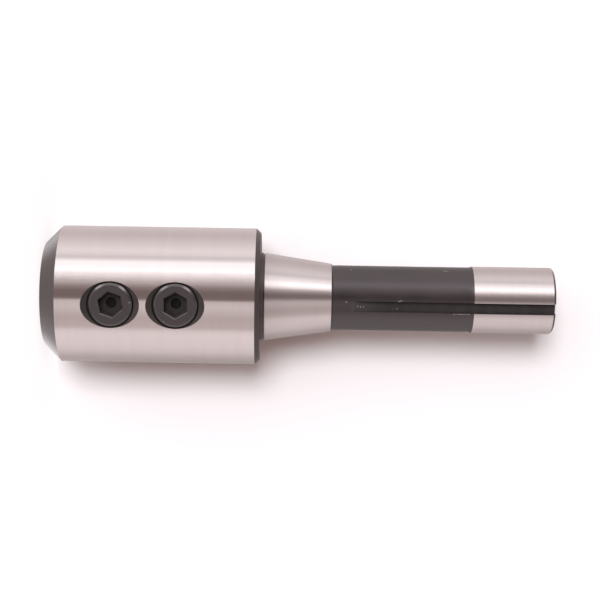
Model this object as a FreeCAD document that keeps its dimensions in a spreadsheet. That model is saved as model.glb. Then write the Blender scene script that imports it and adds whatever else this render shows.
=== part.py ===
import FreeCAD, Part
import os

import Sketcher

from FreeCAD import Placement, Rotation, Vector

# Side-lock endmill holder on a spindle-taper shank, standing on its nose face
# Millimetres. The origin is the centre of the nose face, +Z runs up the axis to the rear of the
# shank, and the two set screws face -Y
# Three pieces: the holder body, turned from one bar, and its two hex-socket set screws

# Driving dimensions: alias, value in millimetres or degrees, what it is
SIZES = [
    ("hub_diameter", 49.3, "ground barrel that holds the cutter"),
    ("hub_length", 77.5, "nose face to the barrel's back face"),
    ("nose_bevel", 6.0, "45 degree bevel round the nose"),
    ("back_bevel", 1.7, "45 degree bevel round the barrel's back face"),
    ("neck_diameter", 31.9, "short neck behind the barrel"),
    ("neck_length", 0.95, "neck, up to the relief groove"),
    ("groove_width", 0.6, "grinding relief in front of the taper"),
    ("groove_depth", 0.45, "grinding relief, below the taper's large end"),
    ("taper_diameter", 31.75, "large end of the spindle taper"),
    ("taper_half_angle", 8.425, "half angle of the spindle taper"),
    ("taper_length", 23.95, "ground length of the taper"),
    ("foot_length", 0.5, "cone from the taper's small end down to the relief"),
    ("relief_diameter", 23.5, "relieved middle of the shank"),
    ("relief_length", 49.5, "relieved middle, between its two cones"),
    ("shoulder_length", 1.1, "cone from the relief up to the land"),
    ("land_diameter", 24.13, "ground land at the rear of the shank"),
    ("land_length", 28.5, "ground land, up to the end bevel"),
    ("end_bevel", 0.75, "45 degree bevel round the rear face"),
    ("bore_diameter", 25.4, "bore for the cutter's shank"),
    ("bore_depth", 60.0, "full diameter depth of the bore"),
    ("mouth_bevel", 1.0, "45 degree bevel at the bore's mouth"),
    ("drill_angle", 118.0, "included angle of drilled hole bottoms"),
    ("drawbar_diameter", 11.1125, "major diameter of the drawbar thread"),
    ("drawbar_depth", 38.0, "full diameter depth of the drawbar hole"),
    ("centre_diameter", 14.0, "mouth of the centre at the rear of the shank"),
    ("centre_angle", 60.0, "included angle of that centre"),
    ("keyway_width", 3.97, "keyway along the shank"),
    ("keyway_depth", 2.8, "keyway floor below the land"),
    ("keyway_length", 63.5, "keyway at full depth, from the rear face"),
    ("keyway_angle", 6.5, "keyway past the line of the set screws"),
    ("cutter_radius", 20.0, "slotting cutter, which left the keyway's run-out"),
    ("screw_diameter", 15.875, "set screw thread, major diameter"),
    ("screw_clearance", 0.05, "radial clearance of a screw in its hole"),
    ("screw_tip_gap", 1.425, "screw tip to the bore's wall, at rest"),
    ("screw_recess", 1.0, "screw face below the barrel's crest, at rest"),
    ("front_screw_turn", 11.0, "front screw's hex socket, turned from the rear one's"),
    ("first_screw_height", 25.4, "nose face to the front screw's axis"),
    ("screw_spacing", 22.75, "front screw's axis to the rear screw's axis"),
    ("countersink_diameter", 20.6, "screw hole's mouth, along the barrel's crest"),
    ("countersink_angle", 110.0, "included angle of the screw hole's mouth"),
    ("counterbore_diameter", 16.6, "relief round the top of the screw's thread"),
    ("counterbore_depth", 2.0, "that relief's floor below the barrel's crest"),
    ("rim_bevel", 1.05, "bevel round a screw's face, across the face"),
    ("rim_angle", 30.0, "that bevel, down from the face"),
    ("socket_width", 7.94, "hex socket, across its flats"),
    ("socket_bevel", 0.32, "45 degree bevel along the socket's six edges"),
    ("pilot_diameter", 3.8, "drilled hole in the hex socket's floor"),
    ("pilot_depth", 0.9, "that hole, below the socket's floor"),
    ("screw_web", 1.15, "metal between the drilled hole's point and the cup"),
    ("cup_diameter", 9.5, "cup point's mouth"),
    ("cup_depth", 1.5, "cup point, tip to bottom"),
    ("cup_rim", 0.4, "flat ring round the cup point's mouth"),
    ("tip_length", 1.9, "cone from the thread down to the cup point"),
]

# How far a cut runs past the surface that it starts from
PAST = 1.0

# Heights up the axis, each stacked on the one before
NECK_TOP = "Sizes.hub_length + Sizes.neck_length"
TAPER_BASE = NECK_TOP + " + Sizes.groove_width"
TAPER_TOP = TAPER_BASE + " + Sizes.taper_length"
RELIEF_BASE = TAPER_TOP + " + Sizes.foot_length"
RELIEF_TOP = RELIEF_BASE + " + Sizes.relief_length"
LAND_BASE = RELIEF_TOP + " + Sizes.shoulder_length"
LAND_TOP = LAND_BASE + " + Sizes.land_length"
OVERALL = LAND_TOP + " + Sizes.end_bevel"

# Radii that more than one line below needs
GROOVE_RADIUS = "Sizes.taper_diameter / 2 - Sizes.groove_depth"
TAPER_SMALL_RADIUS = "Sizes.taper_diameter / 2 - Sizes.taper_length * tan(Sizes.taper_half_angle)"
KEYWAY_FLOOR_RADIUS = "Sizes.land_diameter / 2 - Sizes.keyway_depth"

# A set screw reaches from its recess down to clear of the bore
SCREW_TIP_RADIUS = "(Sizes.bore_diameter / 2 + Sizes.screw_tip_gap)"
SCREW_FACE_RADIUS = "(Sizes.hub_diameter / 2 - Sizes.screw_recess)"
SCREW_LENGTH = "(%s - %s)" % (SCREW_FACE_RADIUS, SCREW_TIP_RADIUS)

# Depths below a set screw's face
PILOT_POINT = "Sizes.pilot_diameter / 2 / tan(Sizes.drill_angle / 2)"
SOCKET_DEPTH = "%s - Sizes.cup_depth - Sizes.screw_web - Sizes.pilot_depth - %s" % (
    SCREW_LENGTH, PILOT_POINT)

doc = FreeCAD.newDocument("EndmillHolder")

sheet = doc.addObject("Spreadsheet::Sheet", "Sizes")
for row, (alias, value, note) in enumerate(SIZES, start=1):
    sheet.set("A%d" % row, note)
    sheet.set("B%d" % row, str(value))
    sheet.setAlias("B%d" % row, alias)
doc.recompute()


def new_body(label):
    body = doc.addObject("PartDesign::Body", label)
    body.Label = label
    return body


def new_sketch(body, name, plane):
    """An empty sketch on one of the body's own origin planes."""
    sketch = body.newObject("Sketcher::SketchObject", name)
    origin_plane = [item for item in body.Origin.OriginFeatures if item.Role == plane][0]
    sketch.AttachmentSupport = [(origin_plane, "")]
    sketch.MapMode = "FlatFace"
    doc.recompute()
    return sketch


def locate(sketch, geometry, point, axis, expression):
    """Hold one coordinate of a sketch point at an expression of the sheet's sizes."""
    value = float(sketch.evalExpression(expression))
    kind = "DistanceX" if axis == "x" else "DistanceY"
    if value < 0:
        rule = Sketcher.Constraint(kind, geometry, point, -1, 1, -value)
        expression = "-(%s)" % expression
    else:
        rule = Sketcher.Constraint(kind, -1, 1, geometry, point, value)
    index = sketch.addConstraint(rule)
    name = "%s_%d_%d" % (axis, geometry, point)
    sketch.renameConstraint(index, name)
    sketch.setExpression("Constraints." + name, expression)


def draw_outline(sketch, corners):
    """A closed outline of straight lines through corners given as pairs of expressions."""
    places = [
        Vector(float(sketch.evalExpression(across)), float(sketch.evalExpression(up)), 0)
        for across, up in corners
    ]
    count = len(corners)
    for index in range(count):
        sketch.addGeometry(Part.LineSegment(places[index], places[(index + 1) % count]))
    for index in range(count):
        sketch.addConstraint(
            Sketcher.Constraint("Coincident", index, 2, (index + 1) % count, 1))
    for index, (across, up) in enumerate(corners):
        if across == "0" and up == "0":
            sketch.addConstraint(Sketcher.Constraint("Coincident", index, 1, -1, 1))
            continue
        if across == "0":
            sketch.addConstraint(Sketcher.Constraint("PointOnObject", index, 1, -2))
        else:
            locate(sketch, index, 1, "x", across)
        if up == "0":
            sketch.addConstraint(Sketcher.Constraint("PointOnObject", index, 1, -1))
        else:
            locate(sketch, index, 1, "y", up)


def draw_circle(sketch, diameter, up="0"):
    """A circle on the sketch's upright axis, at a height given as an expression."""
    radius = float(sketch.evalExpression(diameter)) / 2
    centre = Vector(0, float(sketch.evalExpression(up)), 0)
    index = sketch.addGeometry(Part.Circle(centre, Vector(0, 0, 1), radius))
    if up == "0":
        sketch.addConstraint(Sketcher.Constraint("Coincident", index, 3, -1, 1))
    else:
        sketch.addConstraint(Sketcher.Constraint("PointOnObject", index, 3, -2))
        locate(sketch, index, 3, "y", up)
    rule = sketch.addConstraint(Sketcher.Constraint("Diameter", index, 2 * radius))
    name = "diameter_%d" % index
    sketch.renameConstraint(rule, name)
    sketch.setExpression("Constraints." + name, diameter)


def revolve(body, kind, name, sketch):
    """A full turn of a sketch about its upright axis, as a Revolution or a Groove."""
    feature = body.newObject("PartDesign::" + kind, name)
    feature.Profile = sketch
    feature.ReferenceAxis = (sketch, ["V_Axis"])
    feature.Angle = 360
    sketch.Visibility = False
    doc.recompute()
    return feature


def drill(body, name, sketch, diameter, depth, mouth_diameter, mouth_angle, point):
    """A countersunk hole at each circle of a sketch, going in against the sketch's normal."""
    doc.recompute()
    hole = body.newObject("PartDesign::Hole", name)
    hole.Profile = sketch
    hole.ThreadType = "None"
    hole.DepthType = "Dimension"
    hole.HoleCutType = "Countersink"
    hole.HoleCutCustomValues = True
    hole.setExpression("Diameter", diameter)
    hole.setExpression("Depth", depth)
    hole.setExpression("HoleCutDiameter", mouth_diameter)
    hole.setExpression("HoleCutCountersinkAngle", mouth_angle)
    hole.DrillPoint = point
    if point == "Angled":
        hole.DrillForDepth = False
        hole.setExpression("DrillPointAngle", "Sizes.drill_angle")
    sketch.Visibility = False
    doc.recompute()
    return hole


def turn_blank(body):
    """The body as it leaves the lathe: barrel, neck, groove, taper, relief and land."""
    sketch = new_sketch(body, "turned_outline", "XZ_Plane")
    hub_radius = "Sizes.hub_diameter / 2"
    draw_outline(sketch, [
        ("0", "0"),
        (hub_radius + " - Sizes.nose_bevel", "0"),
        (hub_radius, "Sizes.nose_bevel"),
        (hub_radius, "Sizes.hub_length - Sizes.back_bevel"),
        (hub_radius + " - Sizes.back_bevel", "Sizes.hub_length"),
        ("Sizes.neck_diameter / 2", "Sizes.hub_length"),
        ("Sizes.neck_diameter / 2", NECK_TOP),
        (GROOVE_RADIUS, NECK_TOP),
        (GROOVE_RADIUS, TAPER_BASE),
        ("Sizes.taper_diameter / 2", TAPER_BASE),
        (TAPER_SMALL_RADIUS, TAPER_TOP),
        ("Sizes.relief_diameter / 2", RELIEF_BASE),
        ("Sizes.relief_diameter / 2", RELIEF_TOP),
        ("Sizes.land_diameter / 2", LAND_BASE),
        ("Sizes.land_diameter / 2", LAND_TOP),
        ("Sizes.land_diameter / 2 - Sizes.end_bevel", OVERALL),
        ("0", OVERALL),
    ])
    return revolve(body, "Revolution", "turned_blank", sketch)


def bore_for_cutter(body):
    """The blind bore up from the nose, with its mouth bevel and drilled bottom."""
    sketch = new_sketch(body, "bore_circle", "XY_Plane")
    draw_circle(sketch, "Sizes.bore_diameter")
    hole = drill(body, "cutter_bore", sketch, "Sizes.bore_diameter", "Sizes.bore_depth",
                 "Sizes.bore_diameter + 2 * Sizes.mouth_bevel", "90", "Angled")
    hole.Reversed = True
    doc.recompute()
    return hole


def drill_for_drawbar(body):
    """The blind hole down from the rear face that the drawbar screws into."""
    sketch = new_sketch(body, "drawbar_circle", "XY_Plane")
    sketch.setExpression("AttachmentOffset.Base.z", OVERALL)
    draw_circle(sketch, "Sizes.drawbar_diameter")
    return drill(body, "drawbar_hole", sketch, "Sizes.drawbar_diameter", "Sizes.drawbar_depth",
                 "Sizes.centre_diameter", "Sizes.centre_angle", "Angled")


def draw_screw_circles(body, name, diameter):
    """A circle round each set screw's axis, on the plane that touches the barrel's crest."""
    sketch = new_sketch(body, name, "XZ_Plane")
    sketch.setExpression("AttachmentOffset.Base.z", "Sizes.hub_diameter / 2")
    draw_circle(sketch, diameter, "Sizes.first_screw_height")
    draw_circle(sketch, diameter, "Sizes.first_screw_height + Sizes.screw_spacing")
    return sketch


def drill_for_screws(body):
    """The two countersunk holes through the barrel's wall, from its crest into the bore."""
    hole_diameter = "Sizes.screw_diameter + 2 * Sizes.screw_clearance"
    sketch = draw_screw_circles(body, "screw_circles", hole_diameter)
    return drill(body, "screw_holes", sketch, hole_diameter, "Sizes.hub_diameter / 2",
                 "Sizes.countersink_diameter", "Sizes.countersink_angle", "Flat")


def relieve_screw_holes(body):
    """The short counterbores that clear the end of the thread in each screw hole."""
    sketch = draw_screw_circles(body, "relief_circles", "Sizes.counterbore_diameter")
    pocket = body.newObject("PartDesign::Pocket", "thread_reliefs")
    pocket.Profile = sketch
    pocket.setExpression("Length", "Sizes.counterbore_depth")
    sketch.Visibility = False
    doc.recompute()
    return pocket


def mill_keyway(body):
    """The keyway down the shank, its floor rising out along the slotting cutter's arc."""
    sketch = new_sketch(body, "keyway_side", "YZ_Plane")
    sketch.AttachmentOffset = Placement(Vector(0, 0, 0), Rotation(Vector(0, 1, 0), 1))
    sketch.setExpression("AttachmentOffset.Rotation.Angle", "Sizes.keyway_angle * 1 deg")
    floor = "-(%s)" % KEYWAY_FLOOR_RADIUS
    outside = "-(Sizes.land_diameter / 2 + %s)" % PAST
    above = "%s + %s" % (OVERALL, PAST)
    floor_end = "%s - Sizes.keyway_length" % OVERALL
    floor_x = float(sketch.evalExpression(floor))
    outside_x = float(sketch.evalExpression(outside))
    above_y = float(sketch.evalExpression(above))
    end_y = float(sketch.evalExpression(floor_end))
    radius = float(sketch.evalExpression("Sizes.cutter_radius"))
    centre = Vector(floor_x - radius, end_y, 0)
    exit_y = end_y - (radius ** 2 - (outside_x - centre.x) ** 2) ** 0.5
    circle = Part.Circle(centre, Vector(0, 0, 1), radius)
    exit_angle = circle.parameter(Vector(outside_x, exit_y, 0))
    floor_angle = circle.parameter(Vector(floor_x, end_y, 0))
    floor_line = sketch.addGeometry(
        Part.LineSegment(Vector(floor_x, above_y, 0), Vector(floor_x, end_y, 0)))
    run_out = sketch.addGeometry(Part.ArcOfCircle(circle, exit_angle, floor_angle))
    outer_line = sketch.addGeometry(
        Part.LineSegment(Vector(outside_x, exit_y, 0), Vector(outside_x, above_y, 0)))
    top_line = sketch.addGeometry(
        Part.LineSegment(Vector(outside_x, above_y, 0), Vector(floor_x, above_y, 0)))
    sketch.addConstraint(Sketcher.Constraint("Tangent", floor_line, 2, run_out, 2))
    sketch.addConstraint(Sketcher.Constraint("Coincident", run_out, 1, outer_line, 1))
    sketch.addConstraint(Sketcher.Constraint("Coincident", outer_line, 2, top_line, 1))
    sketch.addConstraint(Sketcher.Constraint("Coincident", top_line, 2, floor_line, 1))
    sketch.addConstraint(Sketcher.Constraint("Vertical", floor_line))
    sketch.addConstraint(Sketcher.Constraint("Vertical", outer_line))
    sketch.addConstraint(Sketcher.Constraint("Horizontal", top_line))
    locate(sketch, floor_line, 1, "x", floor)
    locate(sketch, outer_line, 1, "x", outside)
    locate(sketch, top_line, 1, "y", above)
    locate(sketch, run_out, 3, "y", floor_end)
    rule = sketch.addConstraint(Sketcher.Constraint("Radius", run_out, radius))
    sketch.renameConstraint(rule, "cutter")
    sketch.setExpression("Constraints.cutter", "Sizes.cutter_radius")
    pocket = body.newObject("PartDesign::Pocket", "keyway")
    pocket.Profile = sketch
    pocket.SideType = "Symmetric"
    pocket.setExpression("Length", "Sizes.keyway_width")
    sketch.Visibility = False
    doc.recompute()
    return pocket


def turn_screw(body):
    """The screw's outside and its cup point, face at the local origin, tip downwards."""
    sketch = new_sketch(body, "screw_outline", "XZ_Plane")
    radius = "Sizes.screw_diameter / 2"
    cup_radius = "Sizes.cup_diameter / 2"
    draw_outline(sketch, [
        ("0", "0"),
        (radius + " - Sizes.rim_bevel", "0"),
        (radius, "-Sizes.rim_bevel * tan(Sizes.rim_angle)"),
        (radius, "-(%s - Sizes.tip_length)" % SCREW_LENGTH),
        (cup_radius + " + Sizes.cup_rim", "-" + SCREW_LENGTH),
        (cup_radius, "-" + SCREW_LENGTH),
        ("0", "-(%s - Sizes.cup_depth)" % SCREW_LENGTH),
    ])
    return revolve(body, "Revolution", "screw_blank", sketch)


def draw_hexagon(body, name, width, turn):
    """A hexagon across the local Z axis, two of its corners on the local X axis before a turn."""
    sketch = new_sketch(body, name, "XY_Plane")
    sketch.AttachmentOffset = Placement(Vector(0, 0, 0), Rotation(Vector(0, 0, 1), 1))
    sketch.setExpression("AttachmentOffset.Rotation.Angle", turn)
    corner_reach = "(%s) / sqrt(3)" % width
    corner_radius = float(sketch.evalExpression(corner_reach))
    circle = sketch.addGeometry(
        Part.Circle(Vector(0, 0, 0), Vector(0, 0, 1), corner_radius), True)
    sketch.addConstraint(Sketcher.Constraint("Coincident", circle, 3, -1, 1))
    rule = sketch.addConstraint(Sketcher.Constraint("Radius", circle, corner_radius))
    sketch.renameConstraint(rule, "corners")
    sketch.setExpression("Constraints.corners", corner_reach)
    corners = [
        Rotation(Vector(0, 0, 1), 60 * step).multVec(Vector(corner_radius, 0, 0))
        for step in range(6)
    ]
    sides = [
        sketch.addGeometry(Part.LineSegment(corners[step], corners[(step + 1) % 6]))
        for step in range(6)
    ]
    for step in range(6):
        following = sides[(step + 1) % 6]
        sketch.addConstraint(Sketcher.Constraint("Coincident", sides[step], 2, following, 1))
        sketch.addConstraint(Sketcher.Constraint("PointOnObject", sides[step], 1, circle))
    for side in sides[1:]:
        sketch.addConstraint(Sketcher.Constraint("Equal", sides[0], side))
    sketch.addConstraint(Sketcher.Constraint("PointOnObject", sides[0], 1, -1))
    return sketch


def broach_socket(body, turn):
    """The hex socket, straight down from the screw's face."""
    sketch = draw_hexagon(body, "hex_outline", "Sizes.socket_width", turn)
    pocket = body.newObject("PartDesign::Pocket", "hex_socket")
    pocket.Profile = sketch
    pocket.setExpression("Length", SOCKET_DEPTH)
    sketch.Visibility = False
    doc.recompute()
    return pocket


def bevel_socket(body, turn):
    """The bevel along the hex socket's six edges at the screw's face."""
    sketch = draw_hexagon(body, "mouth_outline", "Sizes.socket_width + 2 * Sizes.socket_bevel", turn)
    pocket = body.newObject("PartDesign::Pocket", "socket_mouth")
    pocket.Profile = sketch
    pocket.TaperAngle = -45
    pocket.setExpression("Length", "Sizes.socket_bevel")
    sketch.Visibility = False
    doc.recompute()
    return pocket


def drill_pilot(body):
    """The drilled hole that the hex socket was broached from, with its pointed bottom."""
    sketch = new_sketch(body, "pilot_outline", "XZ_Plane")
    straight = "%s + Sizes.pilot_depth" % SOCKET_DEPTH
    draw_outline(sketch, [
        ("0", "0"),
        ("Sizes.pilot_diameter / 2", "0"),
        ("Sizes.pilot_diameter / 2", "-(%s)" % straight),
        ("0", "-(%s + %s)" % (straight, PILOT_POINT)),
    ])
    return revolve(body, "Groove", "pilot_hole", sketch)


def make_holder_body():
    body = new_body("holder_body")
    steps = [
        turn_blank(body),
        bore_for_cutter(body),
        drill_for_drawbar(body),
        drill_for_screws(body),
        relieve_screw_holes(body),
        mill_keyway(body),
    ]
    body.Tip = steps[-1]
    return body, steps


def make_set_screw(label, height, turn):
    """One set screw, its tip clear of the bore and its socket facing out along -Y."""
    body = new_body(label)
    steps = [
        turn_screw(body),
        broach_socket(body, turn),
        bevel_socket(body, turn),
        drill_pilot(body),
    ]
    body.Tip = steps[-1]
    body.Placement = Placement(Vector(0, 0, 0), Rotation(Vector(1, 0, 0), 90))
    body.setExpression("Placement.Base.y", "-" + SCREW_FACE_RADIUS)
    body.setExpression("Placement.Base.z", height)
    return body, steps


pieces = [
    make_holder_body(),
    make_set_screw("front_set_screw", "Sizes.first_screw_height", "Sizes.front_screw_turn * 1 deg"),
    make_set_screw("rear_set_screw", "Sizes.first_screw_height + Sizes.screw_spacing", "0 deg"),
]
doc.recompute()

for item in doc.Objects:
    if "Invalid" in item.State or "Error" in item.State:
        raise RuntimeError("%s did not build: %s" % (item.Label, item.State))

for body, steps in pieces:
    shape = body.Shape
    if shape.isNull() or not shape.isValid() or len(shape.Solids) != 1:
        raise RuntimeError("%s is not one sound solid" % body.Label)
    for before, after in zip(steps, steps[1:]):
        if after.Shape.Volume >= before.Shape.Volume:
            raise RuntimeError("%s cuts nothing from %s" % (after.Label, body.Label))

os.makedirs("parts", exist_ok=True)
for body, steps in pieces:
    body.Shape.exportStep("parts/%s.step" % body.Label)
    box = body.Shape.BoundBox
    print("%s: %.1f mm3, X %.3f to %.3f, Y %.3f to %.3f, Z %.3f to %.3f" % (
        body.Label, body.Shape.Volume, box.XMin, box.XMax, box.YMin, box.YMax,
        box.ZMin, box.ZMax))
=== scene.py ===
import math

import bpy
import numpy as np
from mathutils import Matrix, Vector


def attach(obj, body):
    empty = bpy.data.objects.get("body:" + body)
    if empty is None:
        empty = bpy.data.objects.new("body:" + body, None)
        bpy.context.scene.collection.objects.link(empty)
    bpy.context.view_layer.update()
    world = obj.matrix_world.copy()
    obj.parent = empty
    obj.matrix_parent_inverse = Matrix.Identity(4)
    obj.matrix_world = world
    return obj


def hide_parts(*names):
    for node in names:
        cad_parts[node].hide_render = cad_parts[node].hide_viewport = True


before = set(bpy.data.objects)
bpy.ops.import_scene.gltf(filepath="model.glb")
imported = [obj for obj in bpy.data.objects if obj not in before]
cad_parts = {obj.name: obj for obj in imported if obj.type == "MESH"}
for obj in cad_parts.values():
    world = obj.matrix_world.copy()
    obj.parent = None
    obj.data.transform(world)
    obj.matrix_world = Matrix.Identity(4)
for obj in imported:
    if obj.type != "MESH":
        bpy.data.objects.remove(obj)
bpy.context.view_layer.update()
bpy.context.scene.view_settings.view_transform = "Standard"
print("frame loaded:", sorted(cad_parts))

# Sizes are millimetres and degrees. Meshes are made in them and then brought to metres
# The holder stands on its nose, its axis is Z and its set screws face -Y
mm = 0.001
holder = {
    "hubRadius": 24.65,
    "hubLength": 77.5,
    "noseBevel": 6.0,
    "backBevel": 1.7,
    "neckRadius": 15.95,
    "neckLength": 0.95,
    "grooveWidth": 0.6,
    "grooveRadius": 15.425,
    "taperRadius": 15.875,
    "taperHalfAngle": 8.425,
    "taperLength": 23.95,
    "footLength": 0.5,
    "reliefRadius": 11.75,
    "reliefLength": 49.5,
    "shoulderLength": 1.1,
    "landRadius": 12.065,
    "landLength": 28.5,
    "endBevel": 0.75,
    "boreRadius": 12.7,
    "boreDepth": 60.0,
    "mouthBevel": 1.0,
    "drillAngle": 118.0,
    "centreRadius": 7.0,
    "centreAngle": 60.0,
    "drawbarDepth": 38.0,
    "groundRounding": 0.1,    # left on the edges of ground surfaces
    "blackRounding": 0.22,    # left on the blackened edges
    "segments": 288,
}
drawbarThread = {"major": 5.55625, "pitch": 25.4 / 20, "turns": 26}
keyway = {
    "width": 3.97,
    "floorRadius": 9.265,
    "length": 63.5,           # at full depth, from the rear end
    "angle": 6.5,             # round from the way the set screws face
    "cutterRadius": 20.0,
    "arcSteps": 24,
}
screwHole = {
    "major": 7.9875,
    "countersinkRadius": 10.3,
    "countersinkAngle": 110.0,
    "counterboreRadius": 8.3,
    "counterboreDepth": 2.0,  # under the barrel's crest
    "heights": {"front_set_screw": 25.4, "rear_set_screw": 48.15},
    "turnsOut": 4,            # the tap runs from outside the barrel
    "turnsIn": 10,            # to inside the bore
    "segments": 160,
}
setScrew = {
    "major": 7.9375,
    "pitch": 25.4 / 18,
    "faceRadius": 23.65,      # the screw's face, from the holder's axis
    "length": 9.525,
    "rimBevel": 1.05,
    "rimAngle": 30.0,         # down from the face
    "leadWidth": 0.26,        # the thread's steep lead-in, outside the bevel
    "leadAngle": 62.0,
    "socketWidth": 7.94,
    "socketDepth": 4.833,
    "mouthBevel": 0.32,
    "socketTurns": {"front_set_screw": 11.0, "rear_set_screw": 0.0},  # degrees from corner up
    "pilotRadius": 1.9,
    "pilotDepth": 0.9,
    "cupRadius": 4.75,
    "cupRim": 0.4,
    "cupDepth": 1.5,
    "tipLength": 1.9,
    "threadStart": (0.5, 1.5),  # the thread deepens between these depths below the face
    "rounding": 0.12,
    "turns": 9,
    "segments": 160,
}
edgeSteps = 4
threadColumns = 120
threadShape = [(-0.0625, 0.0), (0.0625, 0.0), (0.375, 1.0), (0.625, 1.0)]  # phase, depth
threadDepth = 0.541           # of the pitch


def tangentOf(degrees):
    return math.tan(math.radians(degrees))


# Materials. Colours are linear; each roughness is the least and the most of it

ground = {
    "colour": (0.8, 0.713, 0.716),
    "roughness": (0.19, 0.22),
    "anisotropy": 0.97,
    "shades": (0.985, 1.015),  # how much the bands darken and lighten the colour
    "bandSpacing": 2.5,       # mm between slow changes of shade
    "bandLength": 60.0,       # mm round the piece
    "lineSpacing": 0.12,      # mm between grinding lines
    "lineLength": 25.0,
    "lineHeight": 0.0006,
}
shankGround = ground | {"colour": (0.77, 0.684, 0.687), "roughness": (0.35, 0.38), "bandSpacing": 2.0}
bored = {
    "colour": (0.62, 0.58, 0.57),
    "roughness": 0.3,
    "anisotropy": 0.6,
    "shades": (0.94, 1.06),
    "bandSpacing": 1.5,
    "bandLength": 40.0,
    "lineSpacing": 0.2,
    "lineHeight": 0.003,
}
black = {
    "colour": (0.006, 0.0055, 0.0058),
    "brown": (0.013, 0.009, 0.0095),
    "gloss": 1.93,            # refractive index of the oxide
    "tint": (1.0, 0.86, 0.9),
    "roughness": (0.3, 0.35),
    "mottle": 9.0,            # mm
    "lineSpacing": 0.22,
    "lineHeight": 0.002,
    # specks and scratches down to the steel, and one painted highlight: where, half as long each way, in mm
    "chipsAndGlints": [
        ((-10.9, -4.38, 110.1), (0.25, 0.25, 0.3)), ((-0.41, -11.74, 108.3), (0.2, 0.2, 0.25)),
        ((-0.7, -11.73, 126.9), (0.15, 0.3, 0.25)), ((-0.87, -11.71, 127.3), (0.14, 0.3, 0.3)),
        # the last on this line and the two on the next are a painted highlight, the light line along the
        # keyway's lower edge
        ((-1.03, -11.7, 127.9), (0.13, 0.3, 0.45)), ((3.57, -11.19, 147.0), (0.18, 0.2, 0.35)),
        ((3.55, -11.2, 149.7), (0.09, 0.15, 2.4)), ((3.5, -11.22, 152.2), (0.2, 0.2, 0.3)),
        ((-10.98, -4.2, 143.9), (0.22, 0.25, 0.5)),
        ((-10.95, -4.3, 144.9), (0.2, 0.25, 0.25)), ((-10.51, -5.24, 153.85), (0.25, 0.3, 0.3)),
    ],
    "bareAndGlint": (0.4, 0.37, 0.36),
}
hubBlack = black | {
    "colour": (0.023, 0.0185, 0.0175),
    "brown": (0.027, 0.021, 0.0195),
    "gloss": 1.86,
    "tint": (1.0, 0.77, 0.78),
}
# the neck's black is painted lighter than the hub's: painted light, for the light that falls on the neck
neckBlack = hubBlack | {"colour": (0.064, 0.053, 0.05), "brown": (0.068, 0.056, 0.052)}
recess = {"colour": (0.046, 0.0365, 0.0345), "roughness": 0.6, "specular": 0.3, "mottle": 3.0}
# near black: painted shade in the tapped holes, the counterbores, the pilots and the screws' lead-in, which
# make the dark ring round each screw
deep = {"colour": (0.012, 0.01, 0.0095), "roughness": 0.6, "specular": 0.15, "mottle": 3.0}
slot = {
    "colour": (0.044, 0.0365, 0.037),
    "roughness": 0.6,
    "specular": 0.3,
    "mottle": 3.0,
    "runOut": (0.072, 0.06, 0.06),    # its colour where the cutter left it
    "runOutHeights": (110.2, 122.0),
    "chipsAndGlints": [
        ((1.29, -10.66, 112.4), (0.22, 0.4, 0.2)), ((1.61, -10.2, 113.5), (0.26, 0.4, 0.24)),
        ((1.57, -9.91, 114.6), (0.2, 0.4, 0.18)), ((2.2, -9.15, 126.7), (0.22, 0.4, 0.16)),
    ],
    "bareAndGlint": (0.4, 0.37, 0.36),
}
screwBlack = {
    "colour": (0.021, 0.0175, 0.018),
    "brown": (0.026, 0.021, 0.02),
    "gloss": 1.8,
    "tint": (1.0, 0.88, 0.91),
    "roughness": (0.28, 0.36),
    "mottle": 4.0,
    "lineSpacing": 0.25,
    "lineHeight": 0.002,
    "chipsAndGlints": [((-0.95, -23.6, 32.25), (0.26, 0.3, 0.26)), ((5.6, -23.6, 44.2), (0.16, 0.3, 0.16))],
    "bareAndGlint": (0.3, 0.28, 0.27),
}
screwRim = screwBlack | {"gloss": 1.92, "roughness": (0.19, 0.25), "lineHeight": 0.001}
# the socket's walls and floor are one black; the walls are painted lighter, a painted light on them
socketWallPaintedLight = {"colour": (0.06, 0.053, 0.05), "roughness": 0.5, "specular": 0.3, "mottle": 1.5}
socketFloor = {"colour": (0.03, 0.026, 0.024), "roughness": 0.5, "specular": 0.3, "mottle": 1.5}
socketEdge = screwBlack | {"gloss": 2.3, "roughness": (0.25, 0.3), "lineHeight": 0.001}
dullShades = (0.85, 1.15)     # of the dull blacks
grooveLength = 30.0           # mm round the piece, of the fine lines that the light catches
noiseRange = (0.3, 0.7)       # what nearly all of a noise lies between
markFade = (1.1, 0.6)         # a mark starts and is full at these shares of its size


def addNode(tree, kind, values=None, **settings):
    node = tree.nodes.new(kind)
    for key, value in settings.items():
        setattr(node, key, value)
    for key, value in (values or {}).items():
        node.inputs[key].default_value = value
    return node


def newMaterial(name):
    material = bpy.data.materials.new(name)
    material.use_nodes = True
    return material, material.node_tree, material.node_tree.nodes["Principled BSDF"]


def stretchedNoise(tree, across, along, axis, detail=3.0):
    # noise on the piece's own coordinates, long across the axis and short along it
    coordinates = addNode(tree, "ShaderNodeTexCoord")
    scale = [1 / (across * mm)] * 3
    scale["XYZ".index(axis)] = 1 / (along * mm)
    mapping = addNode(tree, "ShaderNodeMapping", {"Scale": scale})
    noise = addNode(tree, "ShaderNodeTexNoise", {"Scale": 1.0, "Detail": detail, "Roughness": 0.55})
    tree.links.new(coordinates.outputs["Object"], mapping.inputs["Vector"])
    tree.links.new(mapping.outputs["Vector"], noise.inputs["Vector"])
    return noise.outputs["Fac"]


def spread(tree, source, low, high):
    least, most = noiseRange
    ranged = addNode(tree, "ShaderNodeMapRange",
                     {"From Min": least, "From Max": most, "To Min": low, "To Max": high})
    tree.links.new(source, ranged.inputs["Value"])
    return ranged.outputs["Result"]


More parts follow.
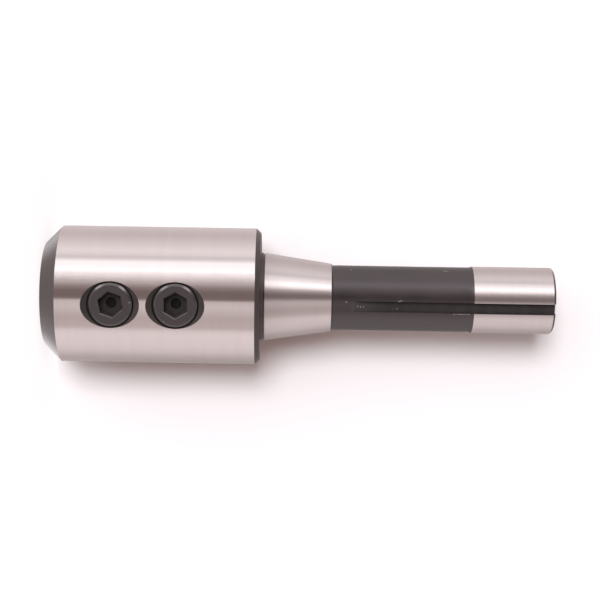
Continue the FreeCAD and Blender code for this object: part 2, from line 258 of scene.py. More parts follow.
def lathedBump(tree, shader, spacing, height, axis):
    lines = stretchedNoise(tree, grooveLength, spacing, axis)
    bump = addNode(tree, "ShaderNodeBump", {"Strength": 1.0, "Distance": height * mm})
    tree.links.new(lines, bump.inputs["Height"])
    tree.links.new(bump.outputs["Normal"], shader.inputs["Normal"])


def alongAxis(tree, shader, axis, amount):
    # the finish was cut round the axis, so its highlights stretch along the axis
    tangent = addNode(tree, "ShaderNodeTangent", direction_type="RADIAL", axis=axis)
    tree.links.new(tangent.outputs["Tangent"], shader.inputs["Tangent"])
    shader.inputs["Anisotropic"].default_value = amount
    shader.inputs["Anisotropic Rotation"].default_value = 0.25


def shaded(tree, colour, source, low, high):
    # the colour, darkened and lightened a little by a noise
    level = spread(tree, source, low, high)
    mix = addNode(tree, "ShaderNodeMix", data_type="RGBA", blend_type="MULTIPLY")
    mix.inputs["Factor"].default_value = 1.0
    mix.inputs["A"].default_value = (*colour, 1)
    tree.links.new(level, mix.inputs["B"])
    return mix.outputs["Result"]


def withChipsAndGlints(tree, look, colour):
    # small ellipsoids in a light colour: chips down to the steel, and a painted highlight
    coordinates = addNode(tree, "ShaderNodeTexCoord")
    start, full = markFade
    most = None
    for middle, half in look["chipsAndGlints"]:
        middle = [value * mm for value in middle]
        scale = [1 / (value * mm) for value in half]
        offset = addNode(tree, "ShaderNodeVectorMath", {1: middle}, operation="SUBTRACT")
        tree.links.new(coordinates.outputs["Object"], offset.inputs[0])
        share = addNode(tree, "ShaderNodeVectorMath", {1: scale}, operation="MULTIPLY")
        tree.links.new(offset.outputs[0], share.inputs[0])
        length = addNode(tree, "ShaderNodeVectorMath", operation="LENGTH")
        tree.links.new(share.outputs[0], length.inputs[0])
        inside = addNode(tree, "ShaderNodeMapRange", {"From Min": start, "From Max": full})
        tree.links.new(length.outputs["Value"], inside.inputs["Value"])
        level = inside.outputs["Result"]
        if most:
            larger = addNode(tree, "ShaderNodeMath", operation="MAXIMUM")
            tree.links.new(most, larger.inputs[0])
            tree.links.new(level, larger.inputs[1])
            level = larger.outputs[0]
        most = level
    mix = addNode(tree, "ShaderNodeMix", data_type="RGBA")
    tree.links.new(most, mix.inputs["Factor"])
    tree.links.new(colour, mix.inputs["A"])
    mix.inputs["B"].default_value = (*look["bareAndGlint"], 1)
    return mix.outputs["Result"]


def groundSteel(name, look):
    material, tree, shader = newMaterial(name)
    shader.inputs["Metallic"].default_value = 1.0
    bands = stretchedNoise(tree, look["bandLength"], look["bandSpacing"], "Z")
    tree.links.new(shaded(tree, look["colour"], bands, *look["shades"]), shader.inputs["Base Color"])
    lines = stretchedNoise(tree, look["lineLength"], look["lineSpacing"] * 3, "Z")
    tree.links.new(spread(tree, lines, *look["roughness"]), shader.inputs["Roughness"])
    alongAxis(tree, shader, "Z", look["anisotropy"])
    lathedBump(tree, shader, look["lineSpacing"], look["lineHeight"], "Z")
    return material


def boredSteel():
    material, tree, shader = newMaterial("boredSteel")
    shader.inputs["Metallic"].default_value = 1.0
    shader.inputs["Roughness"].default_value = bored["roughness"]
    bands = stretchedNoise(tree, bored["bandLength"], bored["bandSpacing"], "Z")
    tree.links.new(shaded(tree, bored["colour"], bands, *bored["shades"]), shader.inputs["Base Color"])
    alongAxis(tree, shader, "Z", bored["anisotropy"])
    lathedBump(tree, shader, bored["lineSpacing"], bored["lineHeight"], "Z")
    return material


def blackOxide(name, look, axis):
    material, tree, shader = newMaterial(name)
    shader.inputs["IOR"].default_value = look["gloss"]
    shader.inputs["Specular Tint"].default_value = (*look["tint"], 1)
    mottle = stretchedNoise(tree, look["mottle"], look["mottle"], axis, 5.0)
    mix = addNode(tree, "ShaderNodeMix", data_type="RGBA")
    mix.inputs["A"].default_value = (*look["colour"], 1)
    mix.inputs["B"].default_value = (*look["brown"], 1)
    tree.links.new(spread(tree, mottle, 0.0, 1.0), mix.inputs["Factor"])
    tree.links.new(withChipsAndGlints(tree, look, mix.outputs["Result"]), shader.inputs["Base Color"])
    tree.links.new(spread(tree, mottle, *look["roughness"]), shader.inputs["Roughness"])
    lathedBump(tree, shader, look["lineSpacing"], look["lineHeight"], axis)
    return material


def dullBlack(name, look):
    material, tree, shader = newMaterial(name)
    shader.inputs["Roughness"].default_value = look["roughness"]
    shader.inputs["Specular IOR Level"].default_value = look["specular"]
    mottle = stretchedNoise(tree, look["mottle"], look["mottle"], "Z", 5.0)
    colour = shaded(tree, look["colour"], mottle, *dullShades)
    if "runOut" in look:
        coordinates = addNode(tree, "ShaderNodeTexCoord")
        height = addNode(tree, "ShaderNodeSeparateXYZ")
        tree.links.new(coordinates.outputs["Object"], height.inputs[0])
        low, high = (value * mm for value in look["runOutHeights"])
        share = addNode(tree, "ShaderNodeMapRange", {"From Min": high, "From Max": low})
        tree.links.new(height.outputs["Z"], share.inputs["Value"])
        mix = addNode(tree, "ShaderNodeMix", data_type="RGBA")
        tree.links.new(share.outputs["Result"], mix.inputs["Factor"])
        tree.links.new(colour, mix.inputs["A"])
        mix.inputs["B"].default_value = (*look["runOut"], 1)
        colour = withChipsAndGlints(tree, look, mix.outputs["Result"])
    tree.links.new(colour, shader.inputs["Base Color"])
    return material


finish = {
    "ground": groundSteel("groundSteel", ground),
    "shankGround": groundSteel("shankGroundSteel", shankGround),
    "bored": boredSteel(),
    "black": blackOxide("blackOxide", black, "Z"),
    "hubBlack": blackOxide("hubBlackOxide", hubBlack, "Z"),
    "neckBlack": blackOxide("neckPaintedLightOxide", neckBlack, "Z"),
    "recess": dullBlack("recessBlack", recess),
    "deep": dullBlack("paintedShadeBlack", deep),
    "slot": dullBlack("slotBlack", slot),
    "screwBlack": blackOxide("screwBlackOxide", screwBlack, "Y"),
    "screwRim": blackOxide("rubbedRim", screwRim, "Y"),
    "socketWallPaintedLight": dullBlack("socketWallPaintedLightBlack", socketWallPaintedLight),
    "socketFloor": dullBlack("socketFloorBlack", socketFloor),
    "socketEdge": blackOxide("rubbedSocketEdge", socketEdge, "Y"),
}
finishes = list(finish)
print("materials made")


# Mesh builders

def newPiece(name, points, faces, finishOfFace):
    mesh = bpy.data.meshes.new(name)
    mesh.from_pydata([tuple(p) for p in points], [], faces)
    for key in finishes:
        mesh.materials.append(finish[key])
    mesh.polygons.foreach_set("material_index", [finishes.index(key) for key in finishOfFace])
    mesh.update()
    piece = bpy.data.objects.new(name, mesh)
    bpy.context.scene.collection.objects.link(piece)
    return piece


def turnBy(v, angle):
    c, s = math.cos(angle), math.sin(angle)
    return np.array((v[0] * c - v[1] * s, v[0] * s + v[1] * c))


def outlineOf(corners):
    # stretches (start, end, normal at start, normal at end, finish) through corners of
    # (radius, height, rounding, finish of what follows); the metal is on the left
    places = [np.array(corner[:2], float) for corner in corners]
    last = len(corners) - 1
    stretches = []
    begin = places[0]
    for i in range(1, last + 1):
        here, before = places[i], places[i] - places[i - 1]
        before = before / np.linalg.norm(before)
        normal = np.array((before[1], -before[0]))
        key, rounding = corners[i - 1][3], corners[i][2]
        if i == last or not rounding:
            stretches.append((begin, here, normal, normal, key))
            begin = here
            continue
        after = places[i + 1] - here
        after = after / np.linalg.norm(after)
        turn = math.atan2(before[0] * after[1] - before[1] * after[0], float(before @ after))
        arcStart = here - before * rounding * math.tan(abs(turn) / 2)
        stretches.append((begin, arcStart, normal, normal, key))
        side = math.copysign(rounding, turn)
        middle = arcStart + side * np.array((-before[1], before[0]))
        turns = [turn * step / edgeSteps for step in range(edgeSteps + 1)]
        arc = [middle + turnBy(arcStart - middle, angle) for angle in turns]
        facing = [turnBy(normal, angle) for angle in turns]
        for step in range(edgeSteps):
            half = key if step < edgeSteps // 2 else corners[i][3]
            stretches.append((arc[step], arc[step + 1], facing[step], facing[step + 1], half))
        begin = arc[-1]
    return stretches


def turned(name, stretches, segments):
    # a closed solid of revolution about Z
    points, rows = [], []
    for r, z in [stretches[0][0]] + [stretch[1] for stretch in stretches]:
        first = len(points)
        if r < 1e-6:
            points.append((0, 0, z))
            rows.append([first] * segments)
            continue
        for j in range(segments):
            angle = 2 * math.pi * j / segments
            points.append((r * math.cos(angle), r * math.sin(angle), z))
        rows.append(list(range(first, first + segments)))
    faces, keys = [], []
    for i, stretch in enumerate(stretches):
        for j in range(segments):
            k = (j + 1) % segments
            ring = [rows[i][j], rows[i][k], rows[i + 1][k], rows[i + 1][j]]
            faces.append([v for n, v in enumerate(ring) if v not in ring[:n]])
            keys.append(stretch[4])
    return newPiece(name, points, faces, keys)


def threadedRod(name, major, pitch, firstTurn, lastTurn, key, start=None):
    # a right-hand threaded rod along Z, its rows of points following the helix
    phases = [(turn + phase, depth) for turn in range(firstTurn, lastTurn) for phase, depth in threadShape]
    step, count = len(threadShape), len(phases)
    points = []
    for phase, depth in phases:
        for j in range(threadColumns):
            angle = 2 * math.pi * j / threadColumns
            z = (phase + j / threadColumns) * pitch
            cut = depth * threadDepth * pitch
            if start:
                cut *= min(max((-z - start[0]) / (start[1] - start[0]), 0.0), 1.0)
            points.append(((major - cut) * math.cos(angle), (major - cut) * math.sin(angle), z))
    faces = []
    for row in range(count - 1):
        base = row * threadColumns
        for j in range(threadColumns - 1):
            faces.append((base + j, base + j + 1, base + j + 1 + threadColumns, base + j + threadColumns))
        if row + 1 + step < count:
            v, w = base + threadColumns - 1, (row + step) * threadColumns
            faces.append((v, w, w + threadColumns, v + threadColumns))
    top = (count - 1) * threadColumns
    low = list(range(threadColumns)) + [row * threadColumns for row in range(step, 0, -1)]
    high = [top + j for j in range(threadColumns)]
    high += [top + threadColumns - 1 - row * threadColumns for row in range(1, step + 1)]
    for loop, phase in ((low[::-1], phases[0][0]), (high, phases[-1][0])):
        points.append((0, 0, (phase + 0.5) * pitch))
        for n in range(len(loop)):
            faces.append((len(points) - 1, loop[n], loop[(n + 1) % len(loop)]))
    return newPiece(name, points, faces, [key] * len(faces))


def prism(name, outline, low, high, key):
    # an outline in X and Y, counterclockwise, between two heights
    count = len(outline)
    points = [(x, y, low) for x, y in outline] + [(x, y, high) for x, y in outline]
    faces = [tuple(range(count))[::-1], tuple(range(count, 2 * count))]
    faces += [(n, (n + 1) % count, (n + 1) % count + count, n + count) for n in range(count)]
    return newPiece(name, points, faces, [key] * len(faces))


def machine(piece, steps):
    # cut or trim the piece with each tool shape in turn, and keep the result as its mesh
    for tool, operation in steps:
        cut = piece.modifiers.new(tool.name, "BOOLEAN")
        cut.object = tool
        cut.operation = operation
        cut.solver = "MANIFOLD"
    bpy.context.view_layer.update()
    shape = piece.evaluated_get(bpy.context.evaluated_depsgraph_get())
    mesh = bpy.data.meshes.new_from_object(shape)
    piece.modifiers.clear()
    piece.data = mesh
    mesh.name = piece.name
    for tool, operation in steps:
        bpy.data.objects.remove(tool)


turnedFace = {"gap": 0.01, "agreement": 0.995}  # mm from the outline; cosine between normals
sharpAngle = 35.0


def setNormals(piece, stretches, toAxis):
    # exact normals on every face that lies on the turned outline, and smooth ones elsewhere
    mesh = piece.data
    mesh.set_sharp_from_angle(angle=math.radians(sharpAngle))
    count, loops = len(mesh.polygons), len(mesh.loops)
    corner = np.zeros(loops * 3)
    mesh.corner_normals.foreach_get("vector", corner)
    place = np.zeros(len(mesh.vertices) * 3)
    mesh.vertices.foreach_get("co", place)
    facing = np.zeros(count * 3)
    mesh.polygons.foreach_get("normal", facing)
    vertexOf = np.zeros(loops, int)
    mesh.loops.foreach_get("vertex_index", vertexOf)
    sides = np.zeros(count, int)
    mesh.polygons.foreach_get("loop_total", sides)
    turn = np.array(toAxis.to_quaternion().to_matrix())
    place = place.reshape(-1, 3) @ np.array(toAxis.to_3x3()).T + np.array(toAxis.translation)
    corner = corner.reshape(-1, 3) @ turn.T
    facing = facing.reshape(-1, 3) @ turn.T
    faceOf = np.repeat(np.arange(count), sides)
    place = place[vertexOf]
    radius = np.hypot(place[:, 0], place[:, 1])
    angle = np.arctan2(place[:, 1], place[:, 0])
    middle = np.zeros((count, 2))
    np.add.at(middle, faceOf, np.stack((radius, place[:, 2]), 1))
    middle /= sides[:, None]
    midPlace = np.zeros((count, 2))
    np.add.at(midPlace, faceOf, place[:, :2])
    midAngle = np.arctan2(midPlace[:, 1], midPlace[:, 0])
    outward = facing[:, 0] * np.cos(midAngle) + facing[:, 1] * np.sin(midAngle)
    best = np.full(count, turnedFace["gap"])
    chosen = np.full(count, -1)
    for n, (start, end, startNormal, endNormal, key) in enumerate(stretches):
        along = end - start
        share = np.clip(((middle - start) @ along) / (along @ along), 0, 1)
        gap = np.linalg.norm(middle - start - share[:, None] * along, axis=1)
        normal = (startNormal + endNormal) / np.linalg.norm(startNormal + endNormal)
        agrees = outward * normal[0] + facing[:, 2] * normal[1] > turnedFace["agreement"]
        better = agrees & (gap < best)
        best[better] = gap[better]
        chosen[better] = n
    own = chosen[faceOf]
    for n, (start, end, startNormal, endNormal, key) in enumerate(stretches):
        here = own == n
        if not here.any():
            continue
        along = end - start
        fromStart = np.stack((radius[here], place[here, 2]), 1) - start
        share = np.clip((fromStart @ along) / (along @ along), 0, 1)
        normal = startNormal + share[:, None] * (endNormal - startNormal)
        normal /= np.linalg.norm(normal, axis=1)[:, None]
        # near the axis a face's own angle stands for its points' angles
        spoke = np.where(radius[here] > 1e-3, angle[here], midAngle[faceOf[here]])
        across, up = normal[:, 0], normal[:, 1]
        corner[here] = np.stack((across * np.cos(spoke), across * np.sin(spoke), up), 1)
    corner = corner @ turn
    mesh.normals_split_custom_set(corner.tolist())


def putInPlace(piece, matrix):
    piece.data.transform(Matrix.Scale(mm, 4) @ matrix)


# The holder body

def holderOutline():
    neckTop = holder["hubLength"] + holder["neckLength"]
    taperBase = neckTop + holder["grooveWidth"]
    taperTop = taperBase + holder["taperLength"]
    taperSmall = holder["taperRadius"] - holder["taperLength"] * tangentOf(holder["taperHalfAngle"])
    reliefBase = taperTop + holder["footLength"]
    reliefTop = reliefBase + holder["reliefLength"]
    landBase = reliefTop + holder["shoulderLength"]
    landTop = landBase + holder["landLength"]
    top = landTop + holder["endBevel"]
    drillSlope = tangentOf(holder["drillAngle"] / 2)
    minor = drawbarThread["major"] - threadDepth * drawbarThread["pitch"]
    centreDepth = (holder["centreRadius"] - minor) / tangentOf(holder["centreAngle"] / 2)
    drawbarFloor = top - holder["drawbarDepth"]
    hub, bore, land, relief = (
        holder[key] for key in ("hubRadius", "boreRadius", "landRadius", "reliefRadius"))
    fine, soft = holder["groundRounding"], holder["blackRounding"]
    stretches = outlineOf([
        (0, holder["boreDepth"] + bore / drillSlope, 0, "bored"),
        (bore, holder["boreDepth"], 0.3, "bored"),
        (bore, holder["mouthBevel"], fine, "bored"),
        (bore + holder["mouthBevel"], 0, fine, "hubBlack"),
        (hub - holder["noseBevel"], 0, soft, "hubBlack"),
        (hub, holder["noseBevel"], fine, "ground"),
        (hub, holder["hubLength"] - holder["backBevel"], fine, "hubBlack"),
        (hub - holder["backBevel"], holder["hubLength"], soft, "hubBlack"),
        # the neck takes the black with painted light
        (holder["neckRadius"], holder["hubLength"], 0, "neckBlack"),
        (holder["neckRadius"], neckTop, fine, "black"),
        (holder["grooveRadius"], neckTop, 0, "black"),
        (holder["grooveRadius"], taperBase, 0, "black"),
        (holder["taperRadius"], taperBase, fine, "shankGround"),
        (taperSmall, taperTop, fine, "black"),
        (relief, reliefBase, 0, "black"),
        (relief, reliefTop, 0, "black"),
        (land, landBase, fine, "shankGround"),
        (land, landTop, fine, "black"),
        (land - holder["endBevel"], top, soft, "black"),
        (holder["centreRadius"], top, fine, "black"),
        (minor, top - centreDepth, 0, "black"),
        (minor, drawbarFloor, 0, "black"),
        (0, drawbarFloor - minor / drillSlope, 0, "black"),
    ])
    return stretches, top


def keywayTool(top):
    # the cutter's path seen from the side, from the rear end down to where it runs out
    outside = holder["landRadius"] + 1
    bottom, radius = keyway["floorRadius"], keyway["cutterRadius"]
    bottomEnd = top - keyway["length"]
    reach = math.acos((radius - (outside - bottom)) / radius)
    steps = [reach * n / keyway["arcSteps"] for n in range(keyway["arcSteps"] + 1)]
    side = [(outside, top + 1), (bottom, top + 1)]
    side += [(bottom + radius * (1 - math.cos(a)), bottomEnd - radius * math.sin(a)) for a in steps]
    tool = prism("keywayTool", side, -keyway["width"] / 2, keyway["width"] / 2, "slot")
    # its X points out of the keyway, its Y up the shank
    turn = math.radians(keyway["angle"])
    out = Vector((math.sin(turn), -math.cos(turn), 0))
    up = Vector((0, 0, 1))
    tool.data.transform(Matrix((out, up, out.cross(up))).transposed().to_4x4())
    return tool


def screwPlace(height):
    # a screw is made with its face at the origin and its tip down; it faces out along -Y
    face = Matrix.Translation((0, -setScrew["faceRadius"], height))
    return face @ Matrix.Rotation(math.radians(90), 4, "X")


def screwHoleTools(height):
    crest = holder["hubRadius"] - setScrew["faceRadius"]
    widest, narrow = screwHole["countersinkRadius"], screwHole["counterboreRadius"]
    slope = tangentOf(screwHole["countersinkAngle"] / 2)
    bottom = crest - screwHole["counterboreDepth"]
    over = 1.0                # the tool stands that far out of the barrel
    # the counterbore and the tapped thread are painted in shade
    sink = turned("countersink", outlineOf([
        (0, bottom, 0, "deep"),
        (narrow, bottom, 0, "deep"),
        (narrow, crest - (widest - narrow) / slope, 0, "recess"),
        (widest + over * slope, crest + over, 0, "recess"),
        (0, crest + over, 0, "recess"),
    ]), screwHole["segments"])
    tap = threadedRod("tap", screwHole["major"], setScrew["pitch"],
                      -screwHole["turnsIn"], screwHole["turnsOut"], "deep")
    for tool in (sink, tap):
        tool.data.transform(screwPlace(height))
    return [(sink, "DIFFERENCE"), (tap, "DIFFERENCE")]


def makeHolder():
    stretches, top = holderOutline()
    body = turned("holderBody", stretches, holder["segments"])
    steps = []
    for height in screwHole["heights"].values():
        steps += screwHoleTools(height)
    steps.append((keywayTool(top), "DIFFERENCE"))
    drawbarTap = threadedRod("drawbarTap", drawbarThread["major"], drawbarThread["pitch"],
                             -drawbarThread["turns"], 2, "black")
    drawbarTap.data.transform(Matrix.Translation((0, 0, top)))
    steps.append((drawbarTap, "DIFFERENCE"))
    machine(body, steps)
    putInPlace(body, Matrix.Identity(4))
    setNormals(body, stretches, Matrix.Scale(1 / mm, 4))
    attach(body, "holder")
    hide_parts("holder_body")


# The set screws

def screwOutline():
    major, rim, tip = setScrew["major"] + 0.01, setScrew["rimBevel"], setScrew["length"]
    lead = setScrew["leadWidth"]
    drop = (rim - lead) * tangentOf(setScrew["rimAngle"])
    soft = setScrew["rounding"]
    return outlineOf([
        (0, setScrew["cupDepth"] - tip, 0, "screwBlack"),
        (setScrew["cupRadius"], -tip, soft / 2, "screwBlack"),
        (setScrew["cupRadius"] + setScrew["cupRim"], -tip, soft, "screwBlack"),
        (major, setScrew["tipLength"] - tip, soft, "screwBlack"),
        # the lead-in outside the bevel is painted in shade, the dark ring round the screw
        (major, -drop - lead * tangentOf(setScrew["leadAngle"]), soft / 2, "deep"),
        (major - lead, -drop, soft / 2, "screwRim"),
        (major - rim, 0, soft, "screwBlack"),
        (0, 0, 0, "screwBlack"),
    ])


def hexTool(name, ends, turn, floorKey, sideKey):
    # a hexagonal plug through (corner radius, height) at its two ends
    points = []
    for corner, height in ends:
        for n in range(6):
            angle = math.radians(60 * n + turn)
            points.append((corner * math.cos(angle), corner * math.sin(angle), height))
    faces = [(5, 4, 3, 2, 1, 0), (6, 7, 8, 9, 10, 11)]
    faces += [(n, (n + 1) % 6, (n + 1) % 6 + 6, n + 6) for n in range(6)]
    return newPiece(name, points, faces, [floorKey] * 2 + [sideKey] * 6)


def makeSetScrew(node, body):
    stretches = screwOutline()
    screw = turned("setScrew_" + body, stretches, setScrew["segments"])
    rod = threadedRod("rod", setScrew["major"], setScrew["pitch"], -setScrew["turns"], 1,
                      "screwBlack", setScrew["threadStart"])
    corner, bevel = setScrew["socketWidth"] / math.sqrt(3), setScrew["mouthBevel"]
    depth, over = setScrew["socketDepth"], 1.0
    turn = setScrew["socketTurns"][node]
    # the socket's walls carry painted light
    socket = hexTool("socketTool", [(corner, -depth), (corner, over)], turn, "socketFloor", "socketWallPaintedLight")
    # the mouth's corners widen more than its flats
    wider = bevel * 2 / math.sqrt(3)
    mouth = hexTool("mouthTool", [(corner - wider, -2 * bevel), (corner + 2 * wider, bevel)],
                    turn, "socketFloor", "socketEdge")
    bottom, drilled = -depth - setScrew["pilotDepth"], setScrew["pilotRadius"]
    # the pilot hole is painted in shade
    pilot = turned("pilotTool", outlineOf([
        (0, bottom - drilled / tangentOf(holder["drillAngle"] / 2), 0, "deep"),
        (drilled, bottom, 0, "deep"),
        (drilled, over / 2, 0, "deep"),
        (0, over / 2, 0, "deep"),
    ]), setScrew["segments"])
    machine(screw, [(rod, "INTERSECT"), (mouth, "DIFFERENCE"), (socket, "DIFFERENCE"), (pilot, "DIFFERENCE")])
    where = screwPlace(screwHole["heights"][node])
    putInPlace(screw, where)
    setNormals(screw, stretches, where.inverted() @ Matrix.Scale(1 / mm, 4))
    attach(screw, body)
    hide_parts(node)


makeHolder()
print("holder body made")
makeSetScrew("front_set_screw", "front_screw")
makeSetScrew("rear_set_screw", "rear_screw")
print("set screws made")


# Camera: level, turned on its side so that the standing holder lies across the picture

camera = {
    "lens": 90.85,
    "sensor": 36.0,
    "distance": 550.8,        # mm from the plane of the holder's nose centre
    "left": 91.83,            # mm from the picture's middle to the nose centre
    "above": 2.585,
    "swing": 0.412,           # the rear of the shank is that much further away
    "tilt": 0.927,            # the shank slopes down to the right
    "screwDrop": 9.4,         # the set screws face that far below the camera
}


def cameraDirections():
    # the holder's axis and the way its screws face, as the camera sees them (right, down, away)
    swing, tilt = math.radians(camera["swing"]), math.radians(camera["tilt"])
    axis = Vector((math.cos(swing) * math.cos(tilt), math.sin(tilt), math.sin(swing))).normalized()
    towardsCamera = Vector((0, 0, -1))
    towardsCamera = (towardsCamera - axis * towardsCamera.dot(axis)).normalized()
    down = axis.cross(towardsCamera)
    drop = math.radians(camera["screwDrop"])
    screws = towardsCamera * math.cos(drop) + down * math.sin(drop)
    if down.y < 0:
        screws = towardsCamera * math.cos(drop) - down * math.sin(drop)
    away = -screws
    return Matrix((away.cross(axis), away, axis)).transposed()  # columns are the frame's X, Y and Z


def makeCamera():
    seen = cameraDirections()
    nose = Vector((-camera["left"], -camera["above"], camera["distance"])) * mm
    back = seen.transposed()
    data = bpy.data.cameras.new("camera")
    data.lens = camera["lens"]
    data.sensor_width = camera["sensor"]
    data.clip_start = 0.01
    data.clip_end = 50
    eye = bpy.data.objects.new("camera", data)
    bpy.context.scene.collection.objects.link(eye)
    right, up, behind = back @ Vector((1, 0, 0)), back @ Vector((0, -1, 0)), back @ Vector((0, 0, -1))
    turn = Matrix((right, up, behind)).transposed().to_4x4()
    eye.matrix_world = Matrix.Translation(-(back @ nose)) @ turn
    bpy.context.scene.camera = eye
    return back


toFrame = makeCamera()
print("camera placed")


# Studio: what the ground steel mirrors round the holder's axis. A light goes by its angle from the
# camera, in degrees, positive to the picture's top. Each has a level and how warm it is

studio = {
    "strength": 2.0,
    "lights": [
        (-180, 0.40, 0.5), (-150, 0.42, 0.5), (-130, 0.56, 0.4), (-112, 0.75, 0.3), (-95, 0.84, 0.25),
        (-72, 0.87, 0.25), (-64, 0.80, 0.3), (-58, 0.59, 0.5),                   # the pale table
        (-40, 0.55, 0.5), (-21, 0.71, 0.35), (-10.5, 0.66, 0.4),                 # a dull card
        (-8.5, 0.20, 1.0), (5, 0.20, 1.0), (13, 0.32, 0.8), (19, 0.53, 0.4),     # the dark round the camera
        (27, 0.60, 0.35), (36, 0.90, 0.1), (40, 1.35, 0.0), (56, 1.35, 0.0),     # the strip light
        (61, 0.90, 0.1), (65, 0.74, 0.15), (70, 0.90, 0.15), (79, 0.98, 0.1),    # its reflector
        (100, 0.80, 0.25), (120, 0.67, 0.35), (150, 0.70, 0.3), (180, 0.60, 0.5),
    ],
    "warm": (0.0, 0.2, 0.26),  # what a fully warm light lacks of red, green and blue
    # to the picture's right, its top and the camera; level; degrees from the middle to where the
    # lamp starts to fade and where it ends
    "lamps": [
        {"to": (-0.567, 0.506, 0.647), "level": 3.8, "edge": (7.0, 12.0)},
        {"to": (0.47, 0.49, 0.735), "level": 3.8, "edge": (7.0, 12.0)},
        {"to": (-0.77, -0.37, -0.52), "level": 1.3, "edge": (5.0, 22.0)},
        {"to": (-0.47, -0.27, -0.84), "level": 2.4, "edge": (3.0, 20.0)},
        {"to": (-0.58, 0.36, -0.73), "level": 2.0, "edge": (3.0, 20.0)},
    ],
    "below": 0.85,            # what the nose and the shank's end mirror along the axis
    "above": 0.5,
    "poles": (0.75, 0.95),    # between these heights of a mirrored ray the ring gives way to them
    "diffuse": 0.18,          # the plain light on dull surfaces
}


def makeWorld():
    world = bpy.data.worlds.new("studio")
    world.use_nodes = True
    bpy.context.scene.world = world
    tree = world.node_tree
    tree.nodes.clear()
    towards = toFrame @ Vector((0, 0, -1))
    towards.z = 0
    towards.normalize()
    upwards = toFrame @ Vector((0, -1, 0))
    upwards = (upwards - towards * upwards.dot(towards))
    upwards.z = 0
    upwards.normalize()
    coordinates = addNode(tree, "ShaderNodeTexCoord")

    def dot(direction):
        node = addNode(tree, "ShaderNodeVectorMath", {1: direction}, operation="DOT_PRODUCT")
        tree.links.new(coordinates.outputs["Generated"], node.inputs[0])
        return node.outputs["Value"]

    angle = addNode(tree, "ShaderNodeMath", operation="ARCTAN2")
    tree.links.new(dot(upwards), angle.inputs[0])
    tree.links.new(dot(towards), angle.inputs[1])
    turn = addNode(tree, "ShaderNodeMath", {1: 1 / (2 * math.pi), 2: 0.5}, operation="MULTIPLY_ADD")
    tree.links.new(angle.outputs[0], turn.inputs[0])
    ramp = addNode(tree, "ShaderNodeValToRGB")
    tree.links.new(turn.outputs[0], ramp.inputs["Fac"])
    elements = ramp.color_ramp.elements
    while len(elements) > 1:
        elements.remove(elements[-1])
    for n, (degrees, level, warmth) in enumerate(studio["lights"]):
        at = (degrees + 180) / 360
        element = elements[0] if n == 0 else elements.new(at)
        element.position = at
        element.color = [level / studio["strength"] * (1 - warmth * less) for less in studio["warm"]] + [1]
    height = addNode(tree, "ShaderNodeSeparateXYZ")
    tree.links.new(coordinates.outputs["Generated"], height.inputs[0])
    level = ramp.outputs["Color"]
    for sign, key in ((1, "above"), (-1, "below")):
        near = addNode(tree, "ShaderNodeMapRange", {"From Min": sign * studio["poles"][0],
                                                    "From Max": sign * studio["poles"][1]},
                       interpolation_type="SMOOTHSTEP")
        tree.links.new(height.outputs["Z"], near.inputs["Value"])
        mix = addNode(tree, "ShaderNodeMix", data_type="RGBA")
        tree.links.new(near.outputs["Result"], mix.inputs["Factor"])
        tree.links.new(level, mix.inputs["A"])
        mix.inputs["B"].default_value = [studio[key] / studio["strength"]] * 3 + [1]
        level = mix.outputs["Result"]
    for lamp in studio["lamps"]:
        right, up, near = lamp["to"]
        towardsLamp = (toFrame @ Vector((right, -up, -near))).normalized()
        inner, outer = (math.cos(math.radians(edge)) for edge in lamp["edge"])
        lit = addNode(tree, "ShaderNodeMapRange", {"From Min": outer, "From Max": inner},
                      interpolation_type="SMOOTHSTEP")
        tree.links.new(dot(towardsLamp), lit.inputs["Value"])
        mix = addNode(tree, "ShaderNodeMix", data_type="RGBA")
        tree.links.new(lit.outputs["Result"], mix.inputs["Factor"])
        tree.links.new(level, mix.inputs["A"])
        mix.inputs["B"].default_value = [lamp["level"] / studio["strength"]] * 3 + [1]
        level = mix.outputs["Result"]
    mirrored = addNode(tree, "ShaderNodeBackground", {"Strength": studio["strength"]})
    tree.links.new(level, mirrored.inputs["Color"])
    plain = addNode(tree, "ShaderNodeBackground", {"Color": (1, 1, 1, 1), "Strength": studio["diffuse"]})
    white = addNode(tree, "ShaderNodeBackground", {"Color": (1, 1, 1, 1), "Strength": 1.0})
    path = addNode(tree, "ShaderNodeLightPath")
    # what the steel mirrors isn't cast on to the floor and the backdrop
    direct = addNode(tree, "ShaderNodeMath", {1: 0.5}, operation="LESS_THAN")
    tree.links.new(path.outputs["Diffuse Depth"], direct.inputs[0])
    glossy = addNode(tree, "ShaderNodeMath", operation="MULTIPLY")
    tree.links.new(path.outputs["Is Glossy Ray"], glossy.inputs[0])
    tree.links.new(direct.outputs[0], glossy.inputs[1])
    first = addNode(tree, "ShaderNodeMixShader")
    tree.links.new(glossy.outputs[0], first.inputs["Fac"])
    tree.links.new(plain.outputs[0], first.inputs[1])
    tree.links.new(mirrored.outputs[0], first.inputs[2])
    second = addNode(tree, "ShaderNodeMixShader")
    tree.links.new(path.outputs["Is Camera Ray"], second.inputs["Fac"])
    tree.links.new(first.outputs[0], second.inputs[1])
    tree.links.new(white.outputs[0], second.inputs[2])
    output = addNode(tree, "ShaderNodeOutputWorld")
    tree.links.new(second.outputs[0], output.inputs["Surface"])


# Suns: where the light comes from, to the picture's right, its top and the camera; degrees across,
# for a soft shadow; strength on a face square to it
suns = [
    {"from": (-0.07, 0.26, 0.96), "width": 22.0, "strength": 0.58},
    {"from": (-0.35, 0.4, 0.85), "width": 64.0, "strength": 0.4},
]
floor = {"half": 3.0, "drop": 0.05, "colour": (0.8, 0.84, 0.82), "lift": (0.9, 0.85, 0.865)}
backdrop = {"half": 3.0, "gap": 3.0, "colour": (0.97, 0.955, 0.99), "lift": (0.09, 0.03, 0.015)}


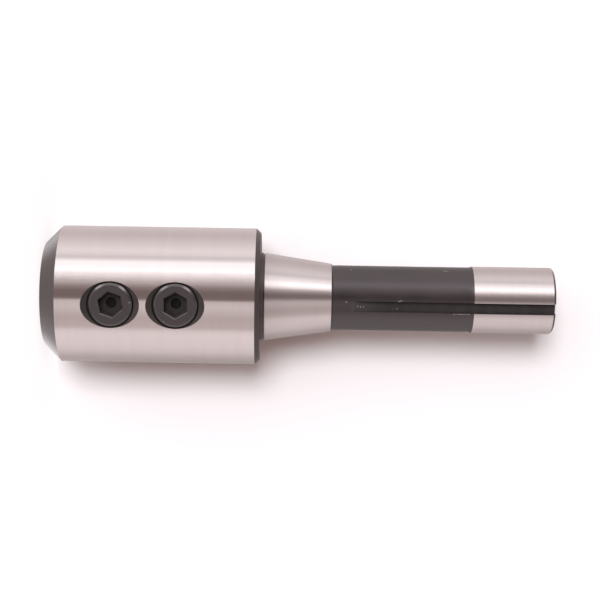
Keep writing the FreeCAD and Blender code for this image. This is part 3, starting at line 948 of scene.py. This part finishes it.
def makeSun(sun):
    data = bpy.data.lights.new("sun", "SUN")
    data.energy = sun["strength"] * math.pi
    data.angle = math.radians(sun["width"])
    lamp = bpy.data.objects.new("sun", data)
    bpy.context.scene.collection.objects.link(lamp)
    right, up, near = sun["from"]
    lamp.rotation_mode = "QUATERNION"
    lamp.rotation_quaternion = (toFrame @ Vector((right, -up, -near))).to_track_quat("Z", "Y")
    lamp.visible_glossy = False


def paleSurface(name, look):
    # pale from the front and clear from behind
    material, tree, shader = newMaterial(name)
    shader.inputs["Base Color"].default_value = (*look["colour"], 1)
    shader.inputs["Roughness"].default_value = 0.9
    shader.inputs["Specular IOR Level"].default_value = 0.0
    shader.inputs["Emission Color"].default_value = (*look["lift"], 1)
    path = addNode(tree, "ShaderNodeLightPath")
    tree.links.new(path.outputs["Is Camera Ray"], shader.inputs["Emission Strength"])
    side = addNode(tree, "ShaderNodeNewGeometry")
    clear = addNode(tree, "ShaderNodeBsdfTransparent")
    mix = addNode(tree, "ShaderNodeMixShader")
    tree.links.new(side.outputs["Backfacing"], mix.inputs["Fac"])
    tree.links.new(shader.outputs["BSDF"], mix.inputs[1])
    tree.links.new(clear.outputs["BSDF"], mix.inputs[2])
    tree.links.new(mix.outputs["Shader"], tree.nodes["Material Output"].inputs["Surface"])
    return material


def stageSheet(name, corners, material):
    mesh = bpy.data.meshes.new(name)
    mesh.from_pydata(corners, [], [(0, 1, 2, 3)])
    mesh.materials.append(material)
    sheet = bpy.data.objects.new(name, mesh)
    bpy.context.scene.collection.objects.link(sheet)
    # it takes shadows and shades nothing
    sheet.visible_diffuse = False
    sheet.visible_glossy = False
    sheet.visible_transmission = False
    sheet.visible_shadow = False


def makeFloor():
    half, low = floor["half"], -floor["drop"] * mm
    corners = [(-half, -half, low), (half, -half, low), (half, half, low), (-half, half, low)]
    stageSheet("floor", corners, paleSurface("paleFloor", floor))


def makeBackdrop():
    # upright behind the barrel
    towards = toFrame @ Vector((0, 0, -1))
    towards.z = 0
    towards.normalize()
    across = Vector((0, 0, 1)).cross(towards)
    middle = -towards * (holder["hubRadius"] + backdrop["gap"]) * mm
    half = backdrop["half"]
    low, high = middle - across * half, middle + across * half
    up = Vector((0, 0, half))
    stageSheet("backdrop", [low, high, high + up, low + up], paleSurface("paleBackdrop", backdrop))


makeWorld()
for sun in suns:
    makeSun(sun)
makeFloor()
makeBackdrop()
print("studio, floor and backdrop made")
